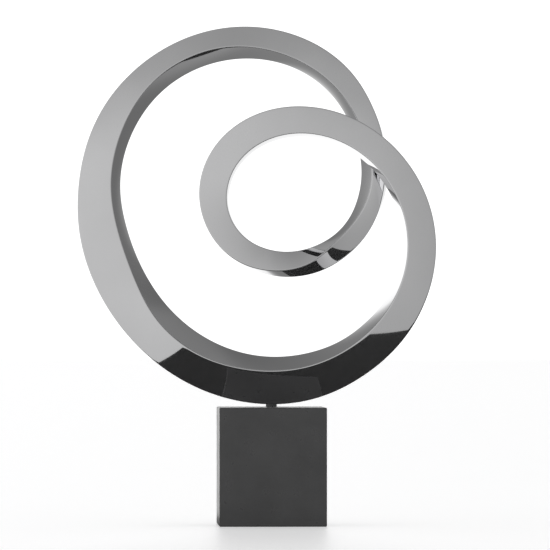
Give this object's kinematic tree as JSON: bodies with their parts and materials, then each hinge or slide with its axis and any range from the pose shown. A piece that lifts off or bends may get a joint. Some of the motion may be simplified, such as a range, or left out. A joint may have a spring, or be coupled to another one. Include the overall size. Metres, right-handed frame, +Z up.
{
  "type": "abstract metal sculpture",
  "caption": "Abstract sculpture: an endless polished metal band looping through itself, pinned on a square dark stone plinth",
  "frame": {"origin": "centre of the plinth's underside, on the surface that the sculpture stands on", "axes": "+Z up through the plinth and the loop, +X to the right and +Y to the back as seen from the front"},
  "size_m": [0.4284, 0.128, 0.5984],
  "materials": {
    "polished_metal": "mirror polished",
    "pin_steel": "turned steel",
    "plinth_stone": "honed dark stone"
  },
  "bodies": {
    "root": {"loop": "polished_metal", "pin": "pin_steel", "plinth": "plinth_stone"}
  },
  "joints": []
}
